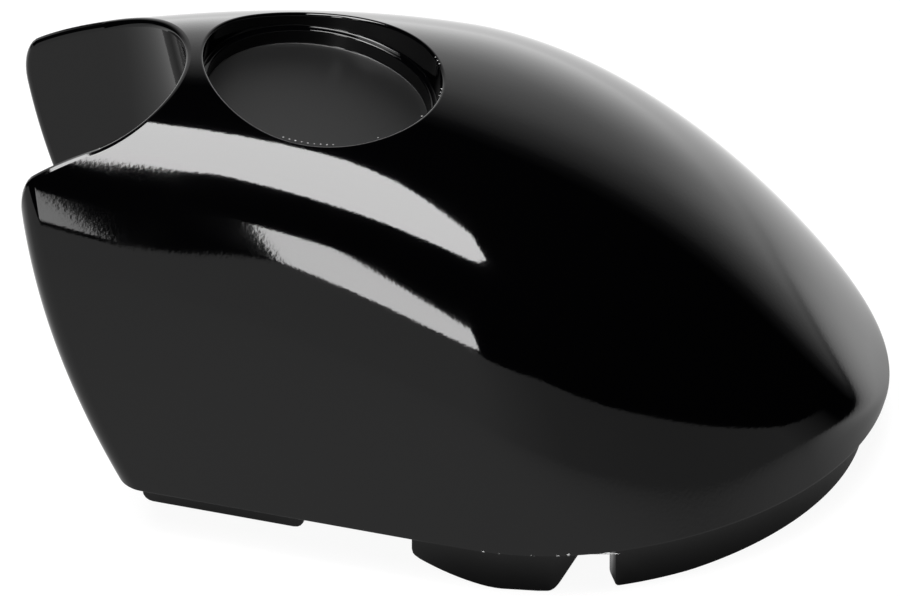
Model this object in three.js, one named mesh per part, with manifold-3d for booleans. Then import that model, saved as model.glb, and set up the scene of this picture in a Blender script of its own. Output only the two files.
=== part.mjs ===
// Brake lever cap: one hollow shell moulded in gloss black plastic.
// It has a round badge recess in its crown, a raked U notch between two arms at its tail,
// and lips under its edge that locate it on the lever body.
// Millimetres. +X points to the nose, +Y across, +Z up. The lips stand on Z = 0.

import * as THREE from 'three';
import Module from 'manifold-3d';
import { mergeVertices } from 'three/addons/utils/BufferGeometryUtils.js';

const wasm = await Module();
wasm.setup();

// Overall form
const capLength = 44;
const crownHeight = 19;
const edgeHeight = 2.9;
const wall = 1.4;

// Plan outline at the shell's edge: straight tapering tail sides that run into a round nose
const noseStart = 21.1;
const noseStartHalfWidth = 16.15;
const tailTaper = THREE.MathUtils.degToRad(17.7);
const noseSideReach = 8.7;
const noseTipReach = 11.6;

// Crown line in side view: level over the tail, then one curve down to the nose
const crownStart = 35.6;
const crownReach = 20.4;
const noseRiseReach = 12.3;
const noseRiseAngle = THREE.MathUtils.degToRad(54);

// Cross-sections: a soft crown over straighter sides that lean in more towards the nose
const crownPower = 2.2;
const sidePower = 4.1;
const tailDraft = THREE.MathUtils.degToRad(2);
const noseDraft = THREE.MathUtils.degToRad(31);

// Tail end: an upright arc in side view, with a rounded outer edge
const tailArcRadius = 42;
const tailArcHeight = 23.5;
const tailEdgeRound = 1;

// U notch between the arms
const notchRadius = 5.65;
const notchSetback = 2.85;
const notchRake = THREE.MathUtils.degToRad(11.5);
const notchFlare = THREE.MathUtils.degToRad(8);

// Badge recess, square to the crown where it sits
const badgeRadius = 5.6;
const badgeClearance = 0.05;
const recessStep = 0.35;
const recessSetback = 28.4;
const recessTilt = THREE.MathUtils.degToRad(8.3);
const recessDepth = 2.7;
const recessStepDepth = 1.9;
const recessWall = 1.2;

// Lips under the edge
const lipInset = 1.2;
const lipThickness = 1.2;
const lipRoot = 2.4;
const lipCover = 0.7;
const rearTabLength = 8.4;
const rearTabDrop = 1.35;
const rearTabCorner = 0.5;
const middleTabStart = 19.6;
const middleTabLength = 9.3;
const middleTabLead = 4.6;
const middleTabLeadRise = 1.15;
const middleTabEndSlope = THREE.MathUtils.degToRad(58);
const frontLipGap = 1.5;
const frontLipRise = 0.5;

// Fineness of the faceted surface
const sectionSteps = 28;
const tailSteps = 12;
const noseSteps = 16;
const roundSteps = 4;

const noseX = capLength / 2;
const tailX = -capLength / 2;
const recessRadius = badgeRadius + badgeClearance;

// Cutters run this far past what they cut, and keep this clear of its flat faces
const overrun = 4;
const cutClearance = 0.05;

// Height of a plan or side curve over a place along the length
function curveHeight(curve, x) {
  let low = 0;
  let high = 1;
  for (let step = 0; step < 40; step += 1) {
    const middle = (low + high) / 2;
    if (curve.getPoint(middle).x < x) low = middle;
    else high = middle;
  }
  return curve.getPoint((low + high) / 2).y;
}

// The shell's skin, moved inwards by an inset: the outer face at 0 and the inner face at the wall
function makeSkin(inset) {
  const tipX = noseX - inset;
  const startX = noseX - noseStart;
  const startHalf = noseStartHalfWidth - inset / Math.cos(tailTaper);
  const crownTop = crownHeight - inset;
  const crownX = noseX - crownStart;
  const plan = new THREE.CubicBezierCurve(
    new THREE.Vector2(startX, startHalf),
    new THREE.Vector2(
      startX + noseSideReach * Math.cos(tailTaper),
      startHalf + noseSideReach * Math.sin(tailTaper)
    ),
    new THREE.Vector2(tipX, noseTipReach - inset / 2),
    new THREE.Vector2(tipX, 0)
  );
  const crown = new THREE.CubicBezierCurve(
    new THREE.Vector2(crownX, crownTop),
    new THREE.Vector2(crownX + crownReach, crownTop),
    new THREE.Vector2(
      tipX - noseRiseReach * Math.cos(noseRiseAngle),
      noseRiseReach * Math.sin(noseRiseAngle)
    ),
    new THREE.Vector2(tipX, 0)
  );

  function halfWidth(x) {
    if (x < startX) return startHalf + (x - startX) * Math.tan(tailTaper);
    return x < tipX ? curveHeight(plan, x) : 0;
  }

  function crownRise(x) {
    if (x < crownX) return crownTop;
    return x < tipX ? curveHeight(crown, x) : 0;
  }

  // Angle 0 is the near edge, a quarter turn the crown line, half a turn the far edge
  function point(x, angle) {
    const along = Math.max(0, (x - tailX) / capLength);
    const draft = tailDraft + (noseDraft - tailDraft) * along ** 2;
    const rise = crownRise(x) * Math.abs(Math.sin(angle)) ** (2 / sidePower);
    const half = halfWidth(x) - Math.tan(draft) * rise;
    const across = Math.abs(Math.cos(angle)) ** (2 / crownPower) * half;
    return new THREE.Vector3(x, -Math.sign(Math.cos(angle)) * across, edgeHeight + rise);
  }

  return { tipX, startX, halfWidth, crownRise, point };
}

const outerSkin = makeSkin(0);

// Tail end's place along the length at a height
function tailEndX(z) {
  const drop = Math.min(tailArcHeight - z, tailArcRadius);
  return tailX + tailArcRadius - Math.sqrt(tailArcRadius ** 2 - drop ** 2);
}

// One row of skin points that follows the tail end's arc, moved forward by a share of the tail
function tailRow(skin, share, forward, foot) {
  const row = [];
  for (let step = 0; step <= sectionSteps; step += 1) {
    const angle = (Math.PI * step) / sectionSteps;
    let x = tailX;
    let place = skin.point(x, angle);
    for (let pass = 0; pass < 4; pass += 1) {
      const end = tailEndX(place.z) + forward;
      x = THREE.MathUtils.lerp(end, skin.startX, share);
      place = skin.point(x, angle);
    }
    row.push(place);
  }
  return withFeet(row, foot);
}

// A foot carries the row's two ends straight down, so that a cutter runs out past the edge.
// The row itself sinks by the cut's clearance, which keeps its ends off the plane of the edge.
function withFeet(row, foot) {
  if (foot === 0) return row;
  for (const place of row) place.z -= cutClearance;
  const near = row[0].clone().setZ(edgeHeight - foot);
  const far = row[row.length - 1].clone().setZ(edgeHeight - foot);
  return [near, ...row, far];
}

function noseRow(skin, share, foot) {
  const x = skin.startX + (skin.tipX - skin.startX) * Math.sin((Math.PI / 2) * share);
  const row = [];
  for (let step = 0; step <= sectionSteps; step += 1) {
    row.push(skin.point(x, (Math.PI * step) / sectionSteps));
  }
  return withFeet(row, foot);
}

// Closed solid through the rows, with a flat underside, an end face at the tail and a tip at the nose
function loftSolid(rows, tip) {
  const positions = [];
  const face = (a, b, c) => positions.push(...a.toArray(), ...b.toArray(), ...c.toArray());
  const quad = (a, b, c, d) => {
    face(a, b, c);
    face(a, c, d);
  };
  const last = rows[0].length - 1;
  for (let row = 0; row + 1 < rows.length; row += 1) {
    const back = rows[row];
    const front = rows[row + 1];
    for (let step = 0; step < last; step += 1) {
      quad(back[step], front[step], front[step + 1], back[step + 1]);
    }
    quad(back[last], front[last], front[0], back[0]);
  }
  const first = rows[0];
  for (let step = 0; step < last / 2; step += 1) {
    quad(first[step], first[step + 1], first[last - step - 1], first[last - step]);
  }
  const end = rows[rows.length - 1];
  for (let step = 0; step < last; step += 1) face(end[step], tip, end[step + 1]);
  face(end[last], tip, end[0]);
  const geometry = new THREE.BufferGeometry();
  geometry.setAttribute('position', new THREE.Float32BufferAttribute(positions, 3));
  return solid(geometry);
}

function solid(geometry, matrix = new THREE.Matrix4()) {
  const bare = geometry.clone().applyMatrix4(matrix);
  bare.deleteAttribute('normal');
  bare.deleteAttribute('uv');
  const merged = mergeVertices(bare, 1e-4);
  return new wasm.Manifold(new wasm.Mesh({
    numProp: 3,
    vertProperties: new Float32Array(merged.attributes.position.array),
    triVerts: new Uint32Array(merged.index.array),
  }));
}

function outerBody() {
  const rows = [];
  for (let step = 0; step < roundSteps; step += 1) {
    const turn = ((Math.PI / 2) * step) / roundSteps;
    const inset = tailEdgeRound * (1 - Math.sin(turn));
    const forward = tailEdgeRound * (1 - Math.cos(turn));
    rows.push(tailRow(makeSkin(inset), 0, forward, 0));
  }
  for (let step = 0; step < tailSteps; step += 1) {
    rows.push(tailRow(outerSkin, step / tailSteps, tailEdgeRound, 0));
  }
  for (let step = 0; step < noseSteps; step += 1) rows.push(noseRow(outerSkin, step / noseSteps, 0));
  return loftSolid(rows, new THREE.Vector3(outerSkin.tipX, 0, edgeHeight));
}

// Form inside the skin at an inset, carried down past the edge
function innerBody(inset) {
  const skin = makeSkin(inset);
  const rows = [];
  for (let step = 0; step < tailSteps; step += 1) {
    rows.push(tailRow(skin, step / tailSteps, inset, overrun));
  }
  for (let step = 0; step < noseSteps; step += 1) rows.push(noseRow(skin, step / noseSteps, overrun));
  return loftSolid(rows, new THREE.Vector3(skin.tipX, 0, edgeHeight - overrun));
}

// U-shaped prism on the notch's raked axis, grown by a margin
function notchBody(margin) {
  const radius = notchRadius + margin;
  const height = crownHeight + edgeHeight + 2 * overrun;
  const side = Math.PI / 2 - notchFlare;
  const reach = notchSetback + 2 * overrun + radius;
  const reachHalf = radius * Math.sin(side) + (reach + radius * Math.cos(side)) * Math.tan(notchFlare);
  const outline = new THREE.Shape();
  outline.absarc(0, 0, radius, -side, side, false);
  outline.lineTo(-reach, reachHalf);
  outline.lineTo(-reach, -reachHalf);
  const prism = new THREE.ExtrudeGeometry(outline, {
    depth: 2 * height,
    bevelEnabled: false,
    curveSegments: 40,
  });
  prism.translate(0, 0, -height);
  prism.rotateY(-notchRake);
  prism.translate(tailX + notchSetback, 0, edgeHeight + crownHeight);
  return solid(prism);
}

// Upright frame of the recess: its origin on the crown line, its Z square to the crown
const recessX = noseX - recessSetback;
const recessFrame = new THREE.Matrix4()
  .makeRotationY(recessTilt)
  .setPosition(recessX, 0, edgeHeight + outerSkin.crownRise(recessX));

// Body of revolution in the recess frame, from its profile of radii and depths below the crown
function recessTurning(profile, segments) {
  const points = profile.map(([radius, depth]) => new THREE.Vector2(radius, -depth));
  const turning = new THREE.LatheGeometry(points, segments);
  turning.rotateX(Math.PI / 2);
  return solid(turning, recessFrame);
}

// Seat of the badge: a flat floor, and a wider mouth above the step in its wall
function recessBody() {
  const mouthRadius = recessRadius + recessStep;
  return recessTurning([
    [0, recessDepth],
    [recessRadius, recessDepth],
    [recessRadius, recessStepDepth],
    [mouthRadius, recessStepDepth],
    [mouthRadius, -overrun],
    [0, -overrun],
  ], 72);
}

// Material that backs the recess inside the shell
function recessCup() {
  const radius = recessRadius + recessStep + recessWall;
  return recessTurning([
    [0, recessDepth + recessWall],
    [radius, recessDepth + recessWall],
    [radius, -overrun],
    [0, -overrun],
  ], 58);
}

// Upright band that follows the plan outline inside the shell's wall
function lipBand() {
  const outline = (inset) => {
    const skin = makeSkin(inset);
    const near = [];
    for (let step = 0; step <= 14; step += 1) {
      near.push(new THREE.Vector2(THREE.MathUtils.lerp(tailX + inset, skin.startX, step / 14), 0));
    }
    for (let step = 1; step <= 24; step += 1) {
      const x = skin.startX + (skin.tipX - skin.startX) * Math.sin((Math.PI * step) / 48);
      near.push(new THREE.Vector2(x, 0));
    }
    for (const place of near) place.y = -skin.halfWidth(place.x);
    const far = near.slice(0, -1).reverse().map((place) => new THREE.Vector2(place.x, -place.y));
    return [...near, ...far];
  };
  const band = new THREE.Shape(outline(lipInset));
  band.holes.push(new THREE.Path(outline(lipInset + lipThickness)));
  return solid(new THREE.ExtrudeGeometry(band, { depth: edgeHeight + lipRoot, bevelEnabled: false }));
}

// Slab across the cap with the side-view outline of a lip
function lipSlab(outline) {
  const width = 3 * noseStartHalfWidth;
  const slab = new THREE.ExtrudeGeometry(new THREE.Shape(outline), { depth: width, bevelEnabled: false });
  slab.rotateX(Math.PI / 2);
  slab.translate(0, width / 2, 0);
  return solid(slab);
}

function lips() {
  const top = edgeHeight + lipRoot + overrun;
  const at = (x, z) => new THREE.Vector2(x, z);
  const rearStart = tailEndX(edgeHeight) + 0.35;
  const rearBottom = edgeHeight - rearTabDrop;
  const rearEnd = rearStart + rearTabLength;
  const rearTab = lipSlab([
    at(rearStart + rearTabCorner, rearBottom),
    at(rearEnd - rearTabCorner, rearBottom),
    at(rearEnd - rearTabCorner * 0.3, rearBottom + rearTabCorner * 0.3),
    at(rearEnd, rearBottom + rearTabCorner),
    at(rearEnd, top),
    at(rearStart, top),
    at(rearStart, rearBottom + rearTabCorner),
    at(rearStart + rearTabCorner * 0.3, rearBottom + rearTabCorner * 0.3),
  ]);

  const middleStart = tailX + middleTabStart;
  const middleEnd = middleStart + middleTabLength;
  const lead = [];
  for (let step = 0; step <= 6; step += 1) {
    const share = step / 6;
    lead.push(at(middleStart + middleTabLead * share, middleTabLeadRise * (1 - share) ** 2));
  }
  const middleTab = lipSlab([
    ...lead,
    at(middleEnd - edgeHeight / Math.tan(middleTabEndSlope), 0),
    at(middleEnd, edgeHeight),
    at(middleEnd, top),
    at(middleStart, top),
  ]);

  const frontStart = middleEnd + frontLipGap;
  const frontLip = lipSlab([
    at(frontStart, 0.15),
    at(frontStart + 0.15, 0),
    at(frontStart + 4, 0),
    at(noseX + overrun, frontLipRise + 0.15),
    at(noseX + overrun, top),
    at(frontStart, top),
  ]);
  const slabs = rearTab.add(middleTab).add(frontLip);
  return lipBand().intersect(slabs).intersect(innerBody(lipCover));
}

function capShell() {
  const cavity = innerBody(wall).subtract(notchBody(wall)).subtract(recessCup());
  const shell = outerBody().subtract(notchBody(0)).subtract(recessBody()).subtract(cavity);
  return shell.add(lips());
}

function meshOf(body, name, material) {
  const shape = body.getMesh();
  const geometry = new THREE.BufferGeometry();
  geometry.setAttribute('position', new THREE.BufferAttribute(new Float32Array(shape.vertProperties), 3));
  geometry.setIndex(new THREE.BufferAttribute(new Uint32Array(shape.triVerts), 1));
  geometry.computeVertexNormals();
  const mesh = new THREE.Mesh(geometry, material);
  mesh.name = name;
  return mesh;
}

function glossBlackPlastic() {
  return new THREE.MeshStandardMaterial({ color: 0x060607, roughness: 0.08, metalness: 0 });
}

const cap = new THREE.Group();
cap.add(meshOf(capShell(), 'cap_shell', glossBlackPlastic()));

export default cap;
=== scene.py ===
"""Looks of a brake lever cap moulded in gloss black plastic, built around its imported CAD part.

The shell is one closed mesh. Its skin follows the CAD part's own curves at a finer step, and its
edges have the small rounds of a moulding. Lengths are millimetres until a mesh is made.
"""

import math
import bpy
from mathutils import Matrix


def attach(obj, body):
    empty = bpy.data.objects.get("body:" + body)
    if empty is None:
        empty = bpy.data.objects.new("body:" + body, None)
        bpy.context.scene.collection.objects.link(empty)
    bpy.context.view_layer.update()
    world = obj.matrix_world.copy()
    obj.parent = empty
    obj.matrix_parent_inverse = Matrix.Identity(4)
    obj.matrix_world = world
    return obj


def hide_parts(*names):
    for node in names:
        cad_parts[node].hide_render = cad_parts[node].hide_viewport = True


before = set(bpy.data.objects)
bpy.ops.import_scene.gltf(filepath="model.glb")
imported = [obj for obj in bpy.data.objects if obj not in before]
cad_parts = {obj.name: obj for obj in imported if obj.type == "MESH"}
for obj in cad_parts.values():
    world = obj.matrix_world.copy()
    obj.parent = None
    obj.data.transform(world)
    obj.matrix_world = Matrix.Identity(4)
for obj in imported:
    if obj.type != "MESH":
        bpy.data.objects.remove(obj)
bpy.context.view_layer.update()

from types import SimpleNamespace

import bpy
import numpy as np
from bpy.props import FloatProperty, FloatVectorProperty, PointerProperty
from mathutils import Vector, geometry, kdtree

bl_info = {
    "name": "Brake lever cap",
    "version": (1, 0, 0),
    "blender": (4, 5, 0),
    "location": "3D View > Sidebar > Lever Cap",
    "description": "Builds a moulded brake lever cap, its plastic and a plain studio",
    "category": "Add Mesh",
}

MM = 0.001
BODY = "root"
NODE = "cap_shell"

# Share of a half section that the round of the lower edge takes
EDGE_BAND = 0.04
# Depth of the tail's end face for one step of the along value
FACE_DEPTH = 5.0
# Steps of the skin's grid along and across
FACE_ROWS = 10
ROUND_ROWS = 8
TAIL_ROWS = 58
NOSE_ROWS = 66
HALF_COLUMNS = 62
# Last along values before the tip of the nose: of the skin, of its backward step, of the nose lip
NOSE_END = 1.9999
NOSE_BEHIND = 1.9998
LIP_END = 1.9995
# Spacing of the points on the edges of the notch and of the recess
LOOP_STEP = 0.24
RIM_POINTS = 176
ROUND_STEPS = 4
# Flat size of a half section when the skin is laid out, and of the along values
COLUMN_REACH = 21.0
ALONG_KNOTS = (-2.0, -1.0, 0.0, 1.0, 2.0)
ALONG_REACH = (-6.57, -1.57, 0.0, 22.5, 50.0)
# Distances that the skin's regular faces keep from the notch's edge and the recess rim
CLEAR_OF_NOTCH = 0.34
CLEAR_OF_RIM = 0.3
POINT_CLEARANCE = 0.12
# Rows along the tail and the nose of the solids that hollow the shell, and columns across
LOFT_ROWS = (30, 44)
LOFT_COLUMNS = 84
# Extra wall behind the notch
NOTCH_EXTRA = 0.05
# How far the solids that hollow the shell reach below its edge
FOOT = 4.0
# Faces meeting at less than this stay smooth
SMOOTH_ANGLE = math.radians(32)
# Places of the burrs round the recess rim, in degrees from the nose side
BURR_ANGLES = (-108, -105, -102, -99, -96, -93, -90, -87, -84, -62, -34, -14, -11, -8, 14, 17, 20)
# Stretch of the lower edge with torn flash, in millimetres from the middle, and single chips
FLASH_START, FLASH_END, FLASH_STEP = 0.4, 6.6, 0.13
FLASH_CHIPS = (10.3, 10.6)
GATE_BLOB, GATE_STUB = 5.75, 7.1

# Distances of the lights and of the backdrop from the cap, and the height they aim at, in metres
LIGHT_DISTANCE = 0.6
BACKDROP_DISTANCE = 0.75
BACKDROP_SIZE = (1.2, 1.1)
LIGHT_HEIGHT = 0.014
# Grey of the surround over how far a direction points backwards, and its brightest value
BEHIND = (
    (0.5, 0),
    (0.59, 0),
    (0.65, 0.03),
    (0.756, 0.22),
    (0.82, 0.4),
    (0.868, 0.55),
    (0.94, 0.8),
    (1.0, 1.0),
)
BEHIND_LEVEL = 2.2
# Share of that brightness over the height in metres
BEHIND_HEIGHT = ((0, 1), (0.25, 0.68))
# Brightness in front over how far a direction points sideways, and where the front ends
FRONT = ((-1, 0.57), (-0.5, 0.57), (-0.17, 0.5), (0.3, 0.33), (0.8, 0.28), (1, 0.28))
FRONT_SHARE = ((-0.1, 1), (0.35, 0))
# Painted shade of the table close to the cap: its brightness from front to back, darker in front, its
# brightest value, and where it ends
NEAR = ((-0.01, 0.31), (0.02, 0.66))
NEAR_LEVEL = 1.9
NEAR_SHARE = ((0.05, 0), (0.22, 1))
# Reach of the cap's shade on the table in metres, and its strength
SHADE_REACH = 0.004
SHADE_POWER = 2.0
# What the camera sees of the table: its own light, and how much of the studio's light it shows
TABLE_LIGHT = 0.93
TABLE_GREY = 0.1
# Top of the low front rise over the azimuth, in degrees
RISE = (
    (-100, 5),
    (-40, 8),
    (-28, 9.5),
    (-23, 19),
    (-20, 25),
    (-13, 23),
    (-6, 19.5),
    (19, 19),
    (37, 14),
    (63, 9),
    (86, 5),
    (116, 4),
)
RISE_STEPS = 72
# Outlines of the lights as sideways angles and angles over the top, in degrees
OVERHEAD = (
    (-30, 52),
    (-19, 55),
    (-14, 65),
    (-10, 68),
    (8, 65),
    (13, 66),
    (17, 70),
    (16, 78),
    (13.5, 87),
    (11, 92),
    (7, 95),
    (-4, 96),
    (-30, 97),
)
PATCH = ((-17.2, 26), (-14.4, 42), (-8.8, 42), (-7.6, 35), (-6.5, 27), (-6.5, 22), (-12, 21))
SIDE_CARD = ((-32, 13), (-27.6, 13), (-26.8, 22), (-25.8, 30), (-32, 31))


def millimetres(name, default, description):
    """A length, given here in millimetres and kept in metres."""
    return FloatProperty(
        name=name, default=default * MM, description=description, unit="LENGTH", precision=5
    )


def plain_number(name, default, description):
    """A setting without a unit."""
    return FloatProperty(name=name, default=default, description=description, precision=4)


def degrees(name, default, description):
    """An angle of the cap, kept in radians."""
    return FloatProperty(
        name=name, default=math.radians(default), description=description, subtype="ANGLE"
    )


def in_millimetres(group):
    """Values of a group of settings, with its lengths in millimetres."""
    values = {}
    for name, setting in group.bl_rna.properties.items():
        if setting.type != "FLOAT":
            continue
        value = getattr(group, name)
        if setting.unit == "LENGTH":
            if setting.is_array:
                value = [round(v / MM, 6) for v in value]
            else:
                value = round(value / MM, 6)
        values[name] = value
    return SimpleNamespace(**values)


class CapShape(bpy.types.PropertyGroup):
    """Sizes of the cap, as its CAD part has them."""

    length: millimetres("Length", 44, "Tail to nose")
    crown: millimetres("Crown height", 19, "Crown above the lower edge")
    edge: millimetres("Edge height", 2.9, "Lower edge above the lips' feet")
    wall: millimetres("Wall", 1.4, "Thickness of the shell")
    nose_start: millimetres("Nose start", 21.1, "Where the nose curve starts, from the tip")
    nose_half: millimetres("Nose half width", 16.15, "Half width where the nose starts")
    taper: degrees("Tail taper", 17.7, "How the tail's sides close in")
    side_reach: millimetres("Side reach", 8.7, "Handle of the plan curve at the side")
    tip_reach: millimetres("Tip reach", 11.6, "Handle of the plan curve at the tip")
    crown_start: millimetres("Crown start", 35.6, "Where the crown starts to fall, from the tip")
    crown_reach: millimetres("Crown reach", 20.4, "Handle of the crown line at its top")
    rise_reach: millimetres("Rise reach", 12.3, "Handle of the crown line at the tip")
    rise_angle: degrees("Rise angle", 54, "Slope of the crown line at the tip")
    crown_power: plain_number("Crown power", 2.2, "Roundness of a section across")
    side_power: plain_number("Side power", 4.1, "Roundness of a section upwards")
    tail_draft: degrees("Tail draft", 2, "Lean of the sides at the tail")
    nose_draft: degrees("Nose draft", 31, "Lean of the sides at the nose")
    tail_arc: millimetres("Tail arc", 42, "Radius of the tail's end in side view")
    tail_arc_height: millimetres("Tail arc height", 23.5, "Height where the tail's end is upright")
    tail_round: millimetres("Tail round", 1, "Round of the tail's outer edge")
    notch_radius: millimetres("Notch radius", 5.65, "Radius of the notch")
    notch_setback: millimetres("Notch setback", 2.85, "Centre of the notch from the tail")
    notch_rake: degrees("Notch rake", 11.5, "Lean of the notch")
    notch_flare: degrees("Notch flare", 8, "How the notch opens to the tail")
    notch_edge: millimetres("Notch edge", 0.3, "Round of the notch's upper edge")
    recess_radius: millimetres("Recess radius", 5.65, "Radius of the badge seat")
    recess_step: millimetres("Recess step", 0.35, "Step in the recess wall")
    recess_setback: millimetres("Recess setback", 28.4, "Centre of the recess from the tip")
    recess_tilt: degrees("Recess tilt", 8.3, "Tilt of the recess towards the nose")
    recess_depth: millimetres("Recess depth", 2.7, "Floor of the recess below the crown")
    step_depth: millimetres("Step depth", 1.9, "Step of the recess below the crown")
    recess_wall: millimetres("Recess wall", 1.2, "Thickness behind the recess")
    rim_round: millimetres("Rim round", 0.16, "Round of the recess rim")
    corner_round: millimetres("Corner round", 0.09, "Rounds inside the recess")
    edge_round: millimetres("Edge round", 0.12, "Round of the lower edge")
    lip_inset: millimetres("Lip inset", 1.2, "Lips behind the outer face")
    lip_thickness: millimetres("Lip thickness", 1.2, "Thickness of the lips")
    lip_root: millimetres("Lip root", 2.4, "How far the lips run up inside")
    lip_cover: millimetres("Lip cover", 0.7, "Wall left outside the lips' roots")
    lip_round: millimetres("Lip round", 0.14, "Round of the lips' feet")
    rear_start: millimetres("Rear tab start", 0.74, "Rear tabs behind the tail's end")
    rear_length: millimetres("Rear tab length", 8.05, "Length of the rear tabs")
    rear_drop: millimetres("Rear tab drop", 1.35, "Rear tabs below the lower edge")
    rear_corner: millimetres("Rear tab corner", 0.5, "Round of the rear tabs' corners")
    rear_short: millimetres("Rear tab root", 0.07, "Rear tabs' roots below the other lips' roots")
    middle_start: millimetres("Middle tab start", 19.6, "Middle tabs from the tail")
    middle_length: millimetres("Middle tab length", 9.3, "Length of the middle tabs")
    middle_lead: millimetres("Middle tab lead", 4.6, "Run of the middle tabs' rising foot")
    middle_rise: millimetres("Middle tab rise", 1.15, "How far that foot rises")
    middle_slope: degrees("Middle tab slope", 58, "Slope of the middle tabs' ends")
    middle_round: millimetres("Middle tab round", 0.35, "Half run of the round at that slope")
    nose_gap: millimetres("Nose lip gap", 1.5, "Gap between the middle tabs and the nose lip")
    nose_delay: millimetres("Nose lip delay", 4, "Where the nose lip's foot starts to rise")
    nose_rise: millimetres("Nose lip rise", 0.5, "How far that foot rises")


class CapFinish(bpy.types.PropertyGroup):
    """Finish of the plastic."""

    colour: FloatVectorProperty(
        name="Colour",
        default=(0.0004, 0.0004, 0.0005),
        subtype="COLOR",
        description="Colour of the plastic under its gloss",
    )
    gloss: plain_number("Roughness", 0.045, "Roughness of the gloss")
    seat: plain_number("Seat roughness", 0.5, "Roughness of the badge seat")


class StudioSet(bpy.types.PropertyGroup):
    """The studio round the cap."""

    lens: plain_number("Lens", 800, "Focal length of the camera in millimetres")
    frame_width: millimetres("Frame width", 45.386, "Width of the picture at the cap")
    elevation: degrees("Elevation", 33.47, "Camera above the horizon")
    azimuth: degrees("Azimuth", 0, "Camera round the cap")
    aim: FloatVectorProperty(
        name="Aim",
        default=(-0.13 * MM, 3.36 * MM, 5.08 * MM),
        description="Middle of the picture",
        unit="LENGTH",
        precision=5,
    )
    key: plain_number("Overhead softbox", 13.8, "Brightness of the overhead softbox")
    fill: plain_number("Front softbox", 11.5, "Brightness of the front softbox")
    side: plain_number("Side card", 3.7, "Brightness of the side card")


_curves = {}


def bezier(knots, x):
    """Height of a plan or side curve over places along the length."""
    if knots not in _curves:
        t = np.linspace(0, 1, 40001)
        u = 1 - t
        weights = (u**3, 3 * u * u * t, 3 * u * t * t, t**3)
        _curves[knots] = [sum(w * knot[k] for w, knot in zip(weights, knots)) for k in (0, 1)]
    return np.interp(x, *_curves[knots])


def tip_place(p, inset=0.0):
    """Place of the nose's tip along the length."""
    return p.length / 2 - inset


def start_place(p):
    """Where the straight tail meets the nose curve."""
    return p.length / 2 - p.nose_start


def half_width(p, x, inset):
    """Half width of the cap at its lower edge."""
    start = start_place(p)
    half = p.nose_half - inset / math.cos(p.taper)
    tip = tip_place(p, inset)
    knots = (
        (start, half),
        (start + p.side_reach * math.cos(p.taper), half + p.side_reach * math.sin(p.taper)),
        (tip, p.tip_reach - inset / 2),
        (tip, 0),
    )
    curved = bezier(knots, np.clip(x, start, tip))
    return np.where(x < start, half + (x - start) * math.tan(p.taper), curved)


def crown_rise(p, x, inset):
    """Height of the crown line above the lower edge."""
    start = p.length / 2 - p.crown_start
    top = p.crown - inset
    tip = tip_place(p, inset)
    knots = (
        (start, top),
        (start + p.crown_reach, top),
        (tip - p.rise_reach * math.cos(p.rise_angle), p.rise_reach * math.sin(p.rise_angle)),
        (tip, 0),
    )
    return np.where(x < start, top, bezier(knots, np.clip(x, start, tip)))


def tail_end(p, z):
    """Place of the tail's end face along the length at a height."""
    drop = np.minimum(p.tail_arc_height - z, p.tail_arc)
    return -p.length / 2 + p.tail_arc - np.sqrt(p.tail_arc**2 - drop**2)


def section(p, x, column, inset):
    """Sideways and upward place of a skin point, and the round at its lower edge."""
    middle = np.minimum(column, 2 - column)
    side = np.where(column < 1, -1.0, 1.0)
    half = np.maximum(half_width(p, x, 0.0 if np.ndim(inset) else inset), 0)
    top = crown_rise(p, x, 0.0 if np.ndim(inset) else inset)
    if np.ndim(inset):
        half = half - inset / math.cos(p.taper)
        top = top - inset
    top = np.maximum(top, 1e-6)
    round_size = np.minimum(p.edge_round, 0.3 * top)
    low = np.arcsin(round_size / top)
    upper = low + (math.pi / 2 - low) * (middle - EDGE_BAND) / (1 - EDGE_BAND)
    up = np.sin(np.where(middle < EDGE_BAND, low * middle / EDGE_BAND, upper))
    draft = p.tail_draft + (p.nose_draft - p.tail_draft) * np.clip(x / p.length + 0.5, 0, None) ** 2
    across = np.clip(1 - up**p.side_power, 0, 1) ** (1 / p.crown_power)
    return side * across * (half - np.tan(draft) * top * up), top * up, round_size


def sharp_place(p, along, column, wall=0.0):
    """Skin point before the lower edge is rounded.

    Along runs from -2 to -1 over the tail's end face, to 0 round its edge, to 1 along the tail
    and to 2 round the nose. Column runs from 0 at the near edge to 2 at the far one.
    """
    turn = np.clip(1 + along, 0, 1) * math.pi / 2
    if wall:
        inset = wall
        forward = wall
    else:
        inset = p.tail_round * (1 - np.sin(turn)) + np.clip(-1 - along, 0, None) * FACE_DEPTH
        forward = p.tail_round * (1 - np.cos(turn))
    share = np.clip(along, 0, 1)
    start = start_place(p)
    x = np.full_like(along, -p.length / 2)
    for _ in range(9):
        _, rise, _ = section(p, x, column, inset)
        end = tail_end(p, p.edge + rise) + forward
        x = end + (start - end) * share
    curve = np.clip(along - 1, 0, 1)
    nose = start + (tip_place(p, wall) - start) * np.sin(math.pi / 2 * curve)
    x = np.where(along > 1, nose, x)
    y, rise, round_size = section(p, x, column, inset)
    return np.stack([x, y, p.edge + rise], -1), round_size


_edge_table = {}


def edge_direction(p, along):
    """Level direction into the cap along its near lower edge."""
    if "along" not in _edge_table:
        steps = np.linspace(-2, NOSE_END, 3000)
        points, _ = sharp_place(p, steps, np.zeros_like(steps))
        run = np.gradient(points[:, :2], axis=0)
        run /= np.linalg.norm(run, axis=1)[:, None]
        _edge_table.update(along=steps, x=-run[:, 1], y=run[:, 0])
    return (
        np.interp(along, _edge_table["along"], _edge_table["x"]),
        np.interp(along, _edge_table["along"], _edge_table["y"]),
    )


def ease(value):
    """Smooth step from 0 to 1."""
    value = np.clip(value, 0, 1)
    return value * value * (3 - 2 * value)


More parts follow.
